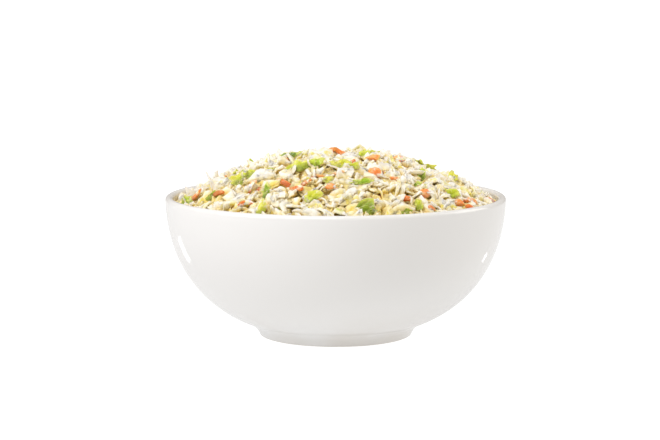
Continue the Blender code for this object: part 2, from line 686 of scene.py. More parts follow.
    def build(self) -> bpy.types.Object:
        """Turns the profile and puts glaze everywhere but on the foot ring's face.

        Returns:
            The bowl.
        """
        profile = self.profile()
        rings = profile[1:-1]
        poles = np.array([[0, 0, profile[0, 1]], [0, 0, profile[-1, 1]]])
        points = np.concatenate([turned_about_z(rings, self.columns), poles])
        bowl = make_piece("porcelain_bowl", points[None], len(rings), self.columns, {})
        bowl.data.materials.append(GlazedPorcelain().make())
        bowl.data.materials.append(BarePorcelain().make())
        heights = points[:, 2]
        faces = bowl.data.polygons
        on_ring = [max(heights[list(face.vertices)]) < self.foot_edge / 2 for face in faces]
        faces.foreach_set("material_index", np.array(on_ring, np.int32))
        settle_in_frame(bowl, Slot.PORCELAIN, "bowl")
        return bowl


# ---------------------------------------------------------------- cut pieces


@dataclass(frozen=True)
class Cut:
    """A kind of cut piece. Ranges are the smallest and largest size of single pieces."""

    name: str
    finish: Vegetable
    count: int
    length: tuple[float, float]
    width: tuple[float, float]
    thickness: tuple[float, float]
    tint: tuple[float, float] = (0.0, 1.0)
    tilt: float = 0.5  # spread of the tilt out of the heap's surface, in radians
    rest: float = 0.7  # share of a piece's points that stay above what it lies on
    proud: float = -0.4 * MM  # how far it may stand over the wanted top, or has to stay under it
    late: float = 0.0  # 0 is mixed all through the heap, 1 is dropped last
    rows: int = 5
    columns: int = 10

    def sizes(self, rng: np.random.Generator, count: int) -> tuple[Array, Array, Array]:
        """Draws each piece's length, width and thickness."""
        spans = (self.length, self.width, self.thickness)
        return tuple(rng.uniform(*span, (count, 1, 1)) for span in spans)

    def forms(self, rng: np.random.Generator, count: int) -> tuple[Array, Array]:
        """Works out the pieces' shapes about the origin, flat side up.

        Args:
            rng: Random source.
            count: Number of pieces.

        Returns:
            Pieces by points by xyz, and each point's value from 0 in the middle to 1 on the rim.
        """
        raise NotImplementedError


@dataclass(frozen=True)
class Chip(Cut):
    """A flat chopped piece whose outline is a rounded polygon.

    With a side's direction a and distance d, the outline's radius at angle t is the sum over
    the sides of (max(cos(t - a), 0) / d)^corner, to the power -1/corner. The flat is bent by
    squares of x and y, and crinkled by a product of two waves.
    """

    sides: int = 5
    stray: float = 0.3  # how far a side's direction strays, as a share of the step between two
    reach: tuple[float, float] = (0.72, 1.25)  # distance of the sides
    corner: float = 7.0
    jag: float = 0.12  # unevenness of the outline, as a share of its radius
    fullness: float = 0.93  # how square the rim is: 1 a straight cut, 0.5 a lens
    inner: float = 0.45  # radius of the ring next to the middle
    bend: float = 0.25
    crinkle: float = 0.0
    crinkle_size: float = 4 * MM

    def forms(self, rng: np.random.Generator, count: int) -> tuple[Array, Array]:
        """The polygon's rings from the middle of the upper side over the rim to the lower.

        Args:
            rng: Random source.
            count: Number of pieces.

        Returns:
            Pieces by points by xyz, and each point's rim value.
        """
        length, width, thickness = self.sizes(rng, count)
        angle = around(self.columns)
        stray = rng.uniform(-self.stray, self.stray, (count, self.sides))
        side = (np.arange(self.sides) + stray) / self.sides
        side = side * TURN + rng.uniform(0, TURN, (count, 1))
        away = rng.uniform(*self.reach, (count, self.sides))
        facing = np.maximum(np.cos(angle[None, :, None] - side[:, None, :]), 0.0)
        outline = ((facing / away[:, None, :]) ** self.corner).sum(-1) ** (-1 / self.corner)
        outline = outline * rng.uniform(1 - self.jag, 1 + self.jag, outline.shape)
        half = (self.rows - 1) // 2
        rim = np.linspace(self.inner, self.fullness, half)
        ring = np.concatenate([rim, [1.0], rim[::-1]])
        rise = np.concatenate([np.linspace(1.0, self.fullness, half), [0.0]])
        rise = np.concatenate([rise, -rise[-2::-1]])
        reach = outline[:, None, :] * ring[None, :, None]
        x = (length / 2 * reach * np.cos(angle)).reshape(count, -1)
        y = (width / 2 * reach * np.sin(angle)).reshape(count, -1)
        z = (thickness / 2 * np.repeat(rise, self.columns)[None, :, None])[..., 0]
        zeros = np.zeros((count, 2))
        x = np.concatenate([x, zeros], 1)
        y = np.concatenate([y, zeros], 1)
        z = np.concatenate([z, thickness[..., 0] / 2 * np.array([1.0, -1.0])], 1)
        bend = rng.normal(0, self.bend, (2, count, 1))
        z = z + bend[0] * x * x / length[..., 0] * 2 + bend[1] * y * y / width[..., 0] * 2
        phase = rng.uniform(0, TURN, (2, count, 1))
        wave = TURN / self.crinkle_size
        z = z + self.crinkle * np.sin(wave * x + phase[0]) * np.cos(wave * y + phase[1])
        edge = np.concatenate([np.repeat(ring, self.columns), [0.0, 0.0]])
        return np.stack([x, y, z], -1), np.repeat(edge[None], count, 0)


@dataclass(frozen=True)
class Lump(Cut):
    """A thick dressed piece: a rounded block with flats, roughened by fine bumps.

    With a flat's direction n and distance d, the reach along u is the sum over the flats of
    (max(u . n, 0) / d)^corner, to the power -1/corner. The bumps are a sum of three sines.
    """

    flats: int = 12
    stray: float = 0.3  # spread of the flats' directions
    reach: tuple[float, float] = (0.6, 1.1)  # distance of the flats
    longest: float = 1.3  # furthest that a corner may reach
    corner: float = 8.0
    bump: float = 0.5 * MM
    bump_size: float = 2.4 * MM
    bumps: int = 3
    rim_start: float = 0.8  # reach at which a point starts to count as rim
    rim_range: float = 0.3
    rows: int = 7
    columns: int = 12

    def forms(self, rng: np.random.Generator, count: int) -> tuple[Array, Array]:
        """Rings of the block from its upper side to its lower side.

        Args:
            rng: Random source.
            count: Number of pieces.

        Returns:
            Pieces by points by xyz, and each point's rim value.
        """
        sizes = np.concatenate(self.sizes(rng, count), -1) / 2
        angle = around(self.columns)
        down = (np.arange(self.rows) + 1)[:, None] / (self.rows + 1) * math.pi
        ring = np.sin(down)
        unit = [ring * np.cos(angle), ring * np.sin(angle), np.cos(down) + 0 * angle]
        unit = np.concatenate([np.stack(unit, -1).reshape(-1, 3), [[0, 0, 1], [0, 0, -1]]])
        # Flats start from an even spiral over the sphere, so that none is missing on any side.
        rise = 1 - (2 * np.arange(self.flats) + 1) / self.flats
        turn = np.arange(self.flats) * GOLDEN_TURN
        level = np.sqrt(1 - rise**2)
        flat = np.stack([level * np.cos(turn), level * np.sin(turn), rise], -1)
        flat = flat + rng.normal(0, self.stray, (count, self.flats, 3))
        flat = flat / np.linalg.norm(flat, axis=-1, keepdims=True)
        away = rng.uniform(*self.reach, (count, 1, self.flats))
        facing = np.maximum(np.einsum("pk,cfk->cpf", unit, flat), 0.0) / away
        reach = (facing**self.corner).sum(-1, keepdims=True) ** (-1 / self.corner)
        points = unit * np.minimum(reach, self.longest) * sizes
        for _ in range(self.bumps):
            wave = rng.normal(0, 1, (count, 1, 3))
            wave = wave / np.linalg.norm(wave, axis=-1, keepdims=True) * TURN / self.bump_size
            phase = (points * wave).sum(-1, keepdims=True) + rng.uniform(0, TURN, (count, 1, 1))
            points = points + unit * self.bump / self.bumps * np.sin(phase)
        return points, np.clip((reach[..., 0] - self.rim_start) / self.rim_range, 0.0, 1.0)


@dataclass(frozen=True)
class Shred(Cut):
    """A strip: a rounded rectangle carried along a curved, twisted path.

    The path's heading turns evenly from end to end and wavers by a sine. The section is the
    superellipse |u|^square + |v|^square = 1, which narrows at both ends.
    """

    turn: tuple[float, float] = (-0.8, 0.8)  # change of heading from end to end, in radians
    waver: float = 0.15
    twist: float = 0.5
    on_edge: float = 0.0  # roll at the middle, a quarter turn for a shaving's curl
    roll: float = 0.4  # spread of that roll
    square: float = 3.0
    narrowing: float = 0.45  # of the section at the very ends
    end_power: int = 5  # the higher, the closer to the ends it narrows
    rim_power: int = 4  # the higher, the closer to the section's sides it counts as rim
    rows: int = 9
    columns: int = 8

    def forms(self, rng: np.random.Generator, count: int) -> tuple[Array, Array]:
        """The section's rings from one end of the path to the other.

        Args:
            rng: Random source.
            count: Number of pieces.

        Returns:
            Pieces by points by xyz, and each point's rim value.
        """
        length, width, thickness = self.sizes(rng, count)
        along = np.linspace(0, 1, self.rows)
        turn = rng.uniform(*self.turn, (count, 1))
        phase = rng.uniform(0, TURN, (count, 1))
        heading = turn * (along - 0.5) + self.waver * np.sin(TURN * along + phase)
        step = length[..., 0] / (self.rows - 1)
        centre = np.stack(
            [
                np.cumsum(np.cos(heading), 1) * step,
                np.cumsum(np.sin(heading), 1) * step,
                self.waver * length[..., 0] * np.sin(math.pi * along + phase),
            ],
            -1,
        )
        centre = centre - centre.mean(axis=1, keepdims=True)
        roll = rng.normal(self.on_edge, self.roll, (count, 1))
        roll = roll + rng.normal(0, self.twist, (count, 1)) * (along - 0.5)
        across = np.stack([-np.sin(heading), np.cos(heading), np.zeros_like(heading)], -1)
        up = np.array([0.0, 0.0, 1.0])
        flat = np.cos(roll)[..., None] * across + np.sin(roll)[..., None] * up
        thick = -np.sin(roll)[..., None] * across + np.cos(roll)[..., None] * up
        angle = around(self.columns)
        u = np.sign(np.cos(angle)) * np.abs(np.cos(angle)) ** (2 / self.square)
        v = np.sign(np.sin(angle)) * np.abs(np.sin(angle)) ** (2 / self.square)
        narrow = 1 - self.narrowing * np.abs(2 * along - 1) ** self.end_power
        ring = flat[:, :, None] * (u[None, None, :, None] * width[..., None] / 2)
        ring = ring + thick[:, :, None] * (v[None, None, :, None] * thickness[..., None] / 2)
        points = centre[:, :, None] + ring * narrow[None, :, None, None]
        points = points.reshape(count, -1, 3)
        ends = np.stack([heading[:, 0] + math.pi, heading[:, -1]], 1)
        out = np.stack([np.cos(ends), np.sin(ends), np.zeros_like(ends)], -1)
        poles = centre[:, [0, -1]] + out * thickness / 4
        edge = np.tile(np.abs(u) ** self.rim_power, self.rows)
        edge = np.concatenate([edge, [1.0, 1.0]])
        return np.concatenate([points, poles], 1), np.repeat(edge[None], count, 0)


CUTS: tuple[Cut, ...] = (
    Lump(
        "cabbage_chunks",
        WHITE_CABBAGE,
        count=430,
        length=mm(6.0, 12.0),
        width=mm(4.5, 8.5),
        thickness=mm(3.0, 5.4),
        tint=(0.0, 0.9),
        tilt=1.6,
        rest=0.55,
        flats=9,
        corner=16.0,
        bump=1.4 * MM,
        bump_size=2.6 * MM,
    ),
    Lump(
        "cabbage_wedges",
        WHITE_CABBAGE,
        count=180,
        length=mm(9.0, 15.0),
        width=mm(5.0, 8.5),
        thickness=mm(3.2, 5.6),
        tint=(0.0, 0.8),
        tilt=1.6,
        rest=0.5,
        late=0.25,
        corner=14.0,
        bump=2.2 * MM,
        bump_size=2.8 * MM,
        rows=11,
        columns=16,
    ),
    Chip(
        "cabbage_bits",
        WHITE_CABBAGE,
        count=680,
        length=mm(6.0, 14.0),
        width=mm(4.5, 9.5),
        thickness=mm(0.8, 1.6),
        tilt=1.4,
        rest=0.55,
        proud=0.2 * MM,
        late=0.5,
        corner=5.0,
        jag=0.3,
        bend=0.35,
        crinkle=0.7 * MM,
        crinkle_size=4.0 * MM,
        columns=14,
    ),
    Chip(
        "cabbage_crumbs",
        WHITE_CABBAGE,
        count=800,
        length=mm(1.4, 3.8),
        width=mm(1.0, 2.6),
        thickness=mm(0.7, 1.5),
        tilt=1.5,
        rest=0.5,
        proud=0.6 * MM,
        late=0.5,
        jag=0.2,
        rows=3,
        columns=6,
    ),
    Shred(
        "cabbage_shreds",
        WHITE_CABBAGE,
        count=360,
        length=mm(5.0, 13.0),
        width=mm(1.0, 2.0),
        thickness=mm(0.5, 0.9),
        tilt=1.0,
        rest=0.62,
        late=0.4,
        turn=(-1.4, 1.4),
    ),
    Shred(
        "cabbage_curls",
        WHITE_CABBAGE,
        count=50,
        length=mm(12.0, 20.0),
        width=mm(1.5, 2.6),
        thickness=mm(0.7, 1.0),
        tint=(0.0, 0.8),
        tilt=0.4,
        late=0.2,
        turn=(3.0, 5.0),
        on_edge=math.pi / 2,
        rows=17,
    ),
    Lump(
        "cabbage_ribs",
        CABBAGE_RIB,
        count=180,
        length=mm(3.4, 6.4),
        width=mm(2.4, 4.4),
        thickness=mm(1.6, 3.0),
        tilt=1.5,
        rest=0.62,
        late=0.2,
        flats=8,
        corner=12.0,
        bump=0.6 * MM,
    ),
    Chip(
        "green_leaf_bits",
        GREEN_LEAF,
        count=45,
        length=mm(3.4, 7.5),
        width=mm(2.2, 4.8),
        thickness=mm(0.35, 0.6),
        tilt=1.0,
        rest=0.7,
        late=0.3,
        sides=6,
        corner=9.0,
        jag=0.25,
        bend=0.2,
        crinkle=0.7 * MM,
        rows=7,
        columns=16,
    ),
    Shred(
        "carrot_shreds",
        CARROT,
        count=66,
        length=mm(4.5, 9.0),
        width=mm(1.4, 2.2),
        thickness=mm(1.0, 1.6),
        tilt=0.7,
        late=0.1,
        turn=(-0.6, 0.6),
        square=4.0,
    ),
    Lump(
        "carrot_chips",
        CARROT,
        count=38,
        length=mm(3.0, 5.5),
        width=mm(2.2, 3.8),
        thickness=mm(1.4, 2.6),
        tilt=0.9,
        flats=7,
        corner=14.0,
        bump=0.25 * MM,
    ),
    Lump(
        "dressing_drops",
        DRESSING,
        count=260,
        length=mm(5.0, 13.0),
        width=mm(4.0, 8.5),
        thickness=mm(1.6, 3.4),
        tilt=1.1,
        rest=0.48,
        late=0.5,
        corner=9.0,
        bump=1.3 * MM,
        bump_size=2.4 * MM,
    ),
)


# ---------------------------------------------------------------- heap


@dataclass
class Pile:
    """The heap's growing top, level, on a square grid, and the top that is wanted there."""

    bowl: Bowl
    depth: float = 6.0 * MM  # of the loose pieces over the core
    cell: float = 0.8 * MM
    evened: int = 4
    tips: float = 0.8 * MM  # how far pieces stand over the evened surface
    gap_depth: float = 3.6 * MM
    margin: float = 3.6 * MM  # between the bowl's outside and the middle of a piece
    clearance: float = 0.2 * MM  # between a piece and the wall
    tries: int = 8  # places that each piece picks the emptiest of
    counted: float = 0.9  # share of a piece, from its lowest point, that its height is told from
    node: str = "coleslaw"

    def __post_init__(self) -> None:
        """Reads the CAD heap's top surface and starts the level on the core and the lip."""
        self.reach = self.bowl.radius
        steps = int(2 * self.reach / self.cell) + 1
        self.line = np.linspace(-self.reach, self.reach, steps)
        tree = BVHTree.FromObject(
            bpy.data.objects[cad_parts[self.node].name],
            bpy.context.evaluated_depsgraph_get(),
        )
        top = self.bowl.height * 2
        down = Vector((0, 0, -1))
        hits = [tree.ray_cast(Vector((x, y, top)), down)[0] for x in self.line for y in self.line]
        heights = np.array([np.nan if hit is None else hit.z for hit in hits])
        self.wanted = heights.reshape(steps, steps)
        self.edge = float(np.nanmin(self.wanted))
        x, y = np.meshgrid(self.line, self.line, indexing="ij")
        self.radius = np.hypot(x, y)
        self.wanted = np.where(np.isnan(self.wanted), self.edge, self.wanted)
        self.slope = np.stack(np.gradient(self.wanted, self.cell), -1)
        wall = self.radius > self.bowl.inner_radius(np.array([self.bowl.height]))[0] - self.cell
        self.level = np.where(wall, self.bowl.height, self.wanted - self.depth)

    def cells(self, xy: Array) -> tuple[Array, Array]:
        """Finds the cells of the grid under some places.

        Args:
            xy: The places.

        Returns:
            Their numbers along x and along y.
        """
        index = np.rint((xy + self.reach) / self.cell).astype(int)
        index = np.clip(index, 0, len(self.line) - 1)
        return index[..., 0], index[..., 1]

    def emptiest(self, rng: np.random.Generator) -> Array:
        """Picks the one of some random places that is furthest below what is wanted.

        Args:
            rng: Random source.

        Returns:
            The place.
        """
        radius = (self.reach - self.margin) * np.sqrt(rng.uniform(0, 1, self.tries))
        angle = rng.uniform(0, TURN, self.tries)
        xy = np.stack([radius * np.cos(angle), radius * np.sin(angle)], -1)
        i, j = self.cells(xy)
        return xy[np.argmax(self.wanted[i, j] - self.level[i, j])]

    def turned(self, form: Array, xy: Array, yaw: float, tilt: Array) -> Array:
        """Turns a form about its middle and lays it along the heap's slope, tilted from it.

        Args:
            form: The piece's points about the origin.
            xy: Where it will lie.
            yaw: Turn about its own normal.
            tilt: Slopes along x and y added to the heap's.

        Returns:
            The turned points.
        """
        i, j = self.cells(xy)
        slope = self.slope[i, j] + tilt
        normal = np.array([-slope[0], -slope[1], 1.0])
        normal = normal / np.linalg.norm(normal)
        heading = np.array([math.cos(yaw), math.sin(yaw), 0.0])
        first = heading - normal * (heading @ normal)
        first = first / np.linalg.norm(first)
        second = np.cross(normal, first)
        return form @ np.stack([first, second, normal])

    def drop(self, form: Array, xy: Array, rest: float, proud: float) -> Array | None:
        """Lets a form down until it lies on the pile, clear of the wall, and raises the level.

        Args:
            form: Turned points about the origin.
            xy: Where it is let down.
            rest: Share of its points that stay above the level.
            proud: How far it may stand over the wanted top.

        Returns:
            The points in their place, or None where the piece would stand too high.
        """
        place = form.copy()
        place[:, :2] += xy
        for _ in range(2):
            i, j = self.cells(place[:, :2])
            lift = np.quantile(self.level[i, j] - form[:, 2], rest)
            place[:, 2] = form[:, 2] + lift
            radius = np.hypot(place[:, 0], place[:, 1])
            excess = (radius - self.bowl.inner_radius(place[:, 2])).max() + self.clearance
            if excess > 0:
                middle = place[:, :2].mean(axis=0)
                place[:, :2] -= middle / np.linalg.norm(middle) * excess
        if self.height_over(place) > proud:
            return None
        i, j = self.cells(place[:, :2])
        np.maximum.at(self.level, (i, j), place[:, 2])
        return place

    def height_over(self, place: Array) -> float:
        """How far a piece stands over the wanted top, leaving out its highest tips."""
        i, j = self.cells(place[:, :2])
        return float(np.quantile(place[:, 2] - self.wanted[i, j], self.counted))

    def middle_level(self) -> Array:
        """Evens out the finished pile: the highest of next cells, then a mean over a few more.

        Returns:
            Heights on the grid.
        """
        steps = range(-self.evened, self.evened + 1)
        top = self.level
        for axis in (0, 1):
            top = np.max([np.roll(top, step, axis) for step in (-1, 0, 1)], axis=0)
        for axis in (0, 1):
            top = np.mean([np.roll(top, step, axis) for step in steps], axis=0)
        return top

    def depth_of(self, points: Array, middle: Array) -> Array:
        """How deep points lie in the gaps, from 0 on the tips of the pieces to 1 down in a gap."""
        i, j = self.cells(points[..., :2])
        return np.clip((middle[i, j] + self.tips - points[..., 2]) / self.gap_depth, 0.0, 1.0)


@dataclass(frozen=True)
class Accent:
    """A piece that is listed and laid on top: kind, place, heading in degrees, size, tint.

    Places and sizes are millimetres. lean is how much it faces the front, as a slope, proud
    how far it may stand over the wanted top, and rest the share of it that stays above the pile.
    """

    kind: str
    x: float
    y: float
    yaw: float
    length: float
    width: float
    tint: float
    lean: float = 0.9
    proud: float = 1.2
    rest: float = 0.85

    def opposite(self) -> "Accent":
        """The same piece half a turn round the bowl."""
        return replace(self, x=-self.x, y=-self.y, yaw=self.yaw + 180, lean=-self.lean)

    def lay(self, cut: Cut, pile: Pile, rng: np.random.Generator) -> tuple[Array, Array]:
        """Makes the piece and lets it down on the pile.

        Args:
            cut: Its kind.
            pile: The heap so far.
            rng: Random source.

        Returns:
            The piece's points in their place, and their rim values.
        """
        length, width = self.length * MM, self.width * MM
        own = replace(cut, length=(length, length), width=(width, width))
        form, rim = (values[0] for values in own.forms(rng, 1))
        xy = np.array([self.x, self.y]) * MM
        turned = pile.turned(form, xy, math.radians(self.yaw), np.array([0.0, self.lean]))
        place = pile.drop(turned, xy, self.rest, math.inf)
        place[:, 2] -= max(pile.height_over(place) - self.proud * MM, 0.0)
        return place, rim


LEAF, STRIP, CHUNK = "green_leaf_bits", "carrot_shreds", "carrot_chips"
CURL, BIT = "cabbage_curls", "cabbage_bits"
ACCENTS: tuple[Accent, ...] = (
    Accent(LEAF, -16, -30, 5, 11.0, 7.0, 0.30, 1.2),
    Accent(LEAF, -9, -31, 60, 7.0, 5.0, 0.50, 1.2),
    Accent(LEAF, -43, -24, 10, 10.0, 6.5, 0.10, 1.2),
    Accent(LEAF, -38, -25, -40, 7.0, 4.5, 0.20),
    Accent(LEAF, -33, -60, 70, 8.5, 5.5, 0.05, 1.3),
    Accent(LEAF, -10, -57, 10, 8.0, 5.0, 0.25, 1.2),
    Accent(LEAF, 11, -64, 80, 10.5, 7.5, 0.45, 1.6),
    Accent(LEAF, 14, -66, 20, 7.0, 5.0, 0.65, 1.6),
    Accent(LEAF, 2, -32, 0, 8.5, 5.5, 0.10, 1.2),
    Accent(LEAF, 8, -33, 20, 6.0, 4.0, 0.25, 1.2),
    Accent(LEAF, 51, -33, -20, 6.0, 4.0, 0.40, 1.2),
    Accent(LEAF, 38, -22, 85, 8.0, 4.0, 0.60, 1.2),
    Accent(LEAF, 53, -5, 80, 7.0, 5.0, 0.00, 1.2),
    Accent(LEAF, -21, -8, 15, 9.0, 3.4, 1.00, 1.2),
    Accent(LEAF, -30, -46, 80, 7.5, 4.4, 0.85, 1.2),
    Accent(LEAF, -66, -20, -20, 7.0, 4.6, 0.60),
    Accent(LEAF, 11, -46, 15, 10.0, 3.4, 0.75, 1.2),
    Accent(LEAF, 36, -55, 0, 5.0, 5.0, 0.40, 1.4),
    Accent(LEAF, 14, -6, 20, 7.0, 3.0, 0.30, 1.2),
    Accent(LEAF, -54, -33, 30, 6.5, 4.0, 0.15, 1.2),
    Accent(LEAF, 30, -64, 60, 6.0, 3.6, 0.10, 1.4),
    Accent(LEAF, -3, -44, 30, 6.0, 4.2, 0.05, 1.2),
    Accent(STRIP, -38, -52, -5, 9.0, 2.0, 0.80, 1.0),
    Accent(STRIP, -21, -44, -62, 11.5, 2.6, 0.55, 1.2),
    Accent(STRIP, -14, -47, 62, 9.0, 2.6, 0.50, 1.2),
    Accent(STRIP, -17, -50, -30, 6.0, 2.8, 0.80, 1.2),
    Accent(STRIP, -3, -3, 20, 7.0, 2.6, 0.50),
    Accent(STRIP, 2, -4, -35, 6.5, 2.8, 0.60),
    Accent(STRIP, -2, -40, 2, 13.0, 1.6, 0.00),
    Accent(STRIP, -63, -18, 35, 7.5, 2.2, 0.40),
    Accent(STRIP, 70, -9, 20, 8.0, 1.8, 0.90),
    Accent(STRIP, -52, -34, -10, 6.5, 2.2, 0.10),
    Accent(STRIP, -37, -38, 60, 6.5, 2.4, 0.50, 1.2),
    Accent(STRIP, 60, -40, -20, 7.0, 2.0, 0.70, 1.0),
    Accent(CHUNK, 17, -36, 0, 6.5, 4.6, 0.50),
    Accent(CHUNK, 17, -15, 0, 6.0, 4.0, 0.10),
    Accent(CHUNK, 29, -7, 15, 5.5, 3.4, 0.20),
    Accent(CHUNK, 39, -43, 80, 5.5, 4.2, 0.60),
    Accent(CHUNK, 30, -52, -15, 5.5, 2.8, 0.80),
    Accent(CHUNK, 54, -40, 10, 5.5, 3.6, 0.40),
    Accent(CHUNK, 59, -32, -10, 6.5, 4.2, 0.50),
    Accent(CHUNK, -2, -52, -30, 5.0, 3.6, 0.40),
    Accent(CHUNK, 41, -55, 0, 4.0, 2.4, 0.80),
    Accent(CHUNK, 26, -36, -20, 4.0, 2.2, 0.60),
    Accent(CURL, 36, -53, 0, 16.0, 2.4, 0.40, 1.2, 0.4, 0.6),
    Accent(CURL, 17, -52, 40, 18.0, 2.4, 0.30, 1.2, 0.4, 0.6),
    Accent(CURL, 29, -23, 80, 14.0, 2.2, 0.80, 0.8, 0.4, 0.6),
    Accent(BIT, -57, -33, 60, 12.0, 8.0, 0.88, 1.2),
    Accent(BIT, 27, -64, 20, 11.0, 8.0, 0.35, 1.6),
    Accent(BIT, -33, -32, 10, 12.0, 8.0, 0.05, 1.2),
    Accent(BIT, 4, -42, 80, 12.0, 6.0, 0.10, 1.4),
    Accent(BIT, -10, -22, 0, 10.0, 7.0, 0.85, 1.2),
)
# The back, which isn't seen from the front, gets the same pieces as the front.
BACK_ACCENTS = tuple(accent.opposite() for accent in ACCENTS if accent.y < -15)


@dataclass
class Coleslaw:
    """The salad: a core under the loose pieces, and one joined mesh for each kind of piece."""

    bowl: Bowl
    gap: float = 0.3 * MM
    relief: float = 0.5 * MM
    steepest: float = 1.8  # slope at which a piece may stand out of the heap's surface
    relief_sizes: tuple[float, ...] = mm(2.2, 3.1, 4.7)
    relief_headings: tuple[float, ...] = (0.3, 1.4, 2.5)  # in radians
    fade_power: int = 8  # by which the relief dies out towards the wall
    judged: float = 60 * MM  # radius within which the log tells how full the heap is
    columns: int = 200
    top_rows: int = 60
    side_rows: int = 16

    def build_core(self, pile: Pile) -> bpy.types.Object:
        """Makes the core: the bowl's inside below, the wanted top lowered and roughened above.

        The relief is a sum of waves in three directions for each of its sizes.

        Args:
            pile: Heights that the heap should reach.

        Returns:
            The core.
        """
        angles = np.linspace(0.0, self.bowl.wall_angle(pile.edge - pile.depth), self.side_rows + 1)
        side = self.bowl.inside(angles, self.gap)[1:][::-1]
        radii = np.linspace(0, side[0, 0], self.top_rows + 1)[1:-1]
        angle = around(self.columns)
        x, y = radii[:, None] * np.cos(angle), radii[:, None] * np.sin(angle)
        i, j = pile.cells(np.stack([x, y], -1))
        z = pile.wanted[i, j] - pile.depth
        fade = 1 - (radii[:, None] / side[0, 0]) ** self.fade_power
        height = self.relief / len(self.relief_headings)
        for size in self.relief_sizes:
            for heading in self.relief_headings:
                wave = TURN / size * (x * math.cos(heading) + y * math.sin(heading))
                z = z + height * fade * np.sin(wave + size / MM + heading)
        top = np.stack([x, y, z], -1).reshape(-1, 3)
        low = turned_about_z(side, self.columns)
        floor = self.bowl.floor_thickness + self.gap
        poles = np.array([[0, 0, z[0].mean()], [0, 0, floor]])
        points = np.concatenate([top, low, poles])
        plain = np.zeros(len(points))
        attributes = {"tint": plain, "edge": plain, "depth": plain}
        rows = len(radii) + len(side)
        core = make_piece("coleslaw_core", points[None], rows, self.columns, attributes)
        core.data.materials.append(HEAP_CORE.make())
        settle_in_frame(core, Slot.COLESLAW, pile.node)
        return core

    def scatter(self, pile: Pile, rng: np.random.Generator) -> dict[str, tuple]:
        """Drops every piece in a mixed order, each where the heap is lowest.

        Args:
            pile: The heap so far.
            rng: Random source.

        Returns:
            For each kind, its placed pieces, tints and rim values.
        """
        shapes = {cut.name: cut.forms(rng, cut.count) for cut in CUTS}
        order = [(cut, number) for cut in CUTS for number in range(cut.count)]
        placed: dict[str, list[tuple[Array, Array]]] = {cut.name: [] for cut in CUTS}
        turn = rng.uniform(0, 1, len(order)) + np.array([cut.late for cut, _ in order])
        for pick in np.argsort(turn):
            cut, number = order[pick]
            form, rim = (values[number] for values in shapes[cut.name])
            xy = pile.emptiest(rng)
            tilt = np.clip(rng.normal(0, cut.tilt, 2), -self.steepest, self.steepest)
            turned = pile.turned(form, xy, rng.uniform(0, TURN), tilt)
            place = pile.drop(turned, xy, cut.rest, cut.proud)
            if place is not None:
                placed[cut.name].append((place, rim))
        result = {}
        for cut in CUTS:
            dropped = placed[cut.name]
            accents = [accent for accent in ACCENTS + BACK_ACCENTS if accent.kind == cut.name]
            laid = [accent.lay(cut, pile, rng) for accent in accents]
            points, rims = (np.array(values) for values in zip(*dropped, *laid))
            tint = rng.uniform(*cut.tint, (len(points), 1))
            tint[len(dropped) :, 0] = [accent.tint for accent in accents]
            log.info("%s: %d of %d dropped", cut.name, len(dropped), cut.count)
            result[cut.name] = (points, tint, rims)
        return result

    def build(self) -> None:
        """Builds the core and the loose pieces."""
        rng = np.random.default_rng(SEED)
        pile = Pile(self.bowl)
        self.build_core(pile)
        pieces = self.scatter(pile, rng)
        middle = pile.middle_level()
        short = (pile.wanted - pile.level)[pile.radius < self.judged].mean() / MM
        log.info("the heap is %.2f mm short of its wanted height on average", short)
        finishes: dict[str, bpy.types.Material] = {}
        for cut in CUTS:
            points, tint, edge = pieces[cut.name]
            attributes = {
                "tint": np.repeat(tint, points.shape[1], 1),
                "edge": edge,
                # depth sets how much painted shade a point takes in the gaps
                "depth": pile.depth_of(points, middle),
            }
            piece = make_piece(cut.name, points, cut.rows, cut.columns, attributes)
            finish = cut.finish.name
            finishes[finish] = finishes.get(finish) or cut.finish.make()
            piece.data.materials.append(finishes[finish])
            settle_in_frame(piece, Slot.COLESLAW)


# ---------------------------------------------------------------- studio


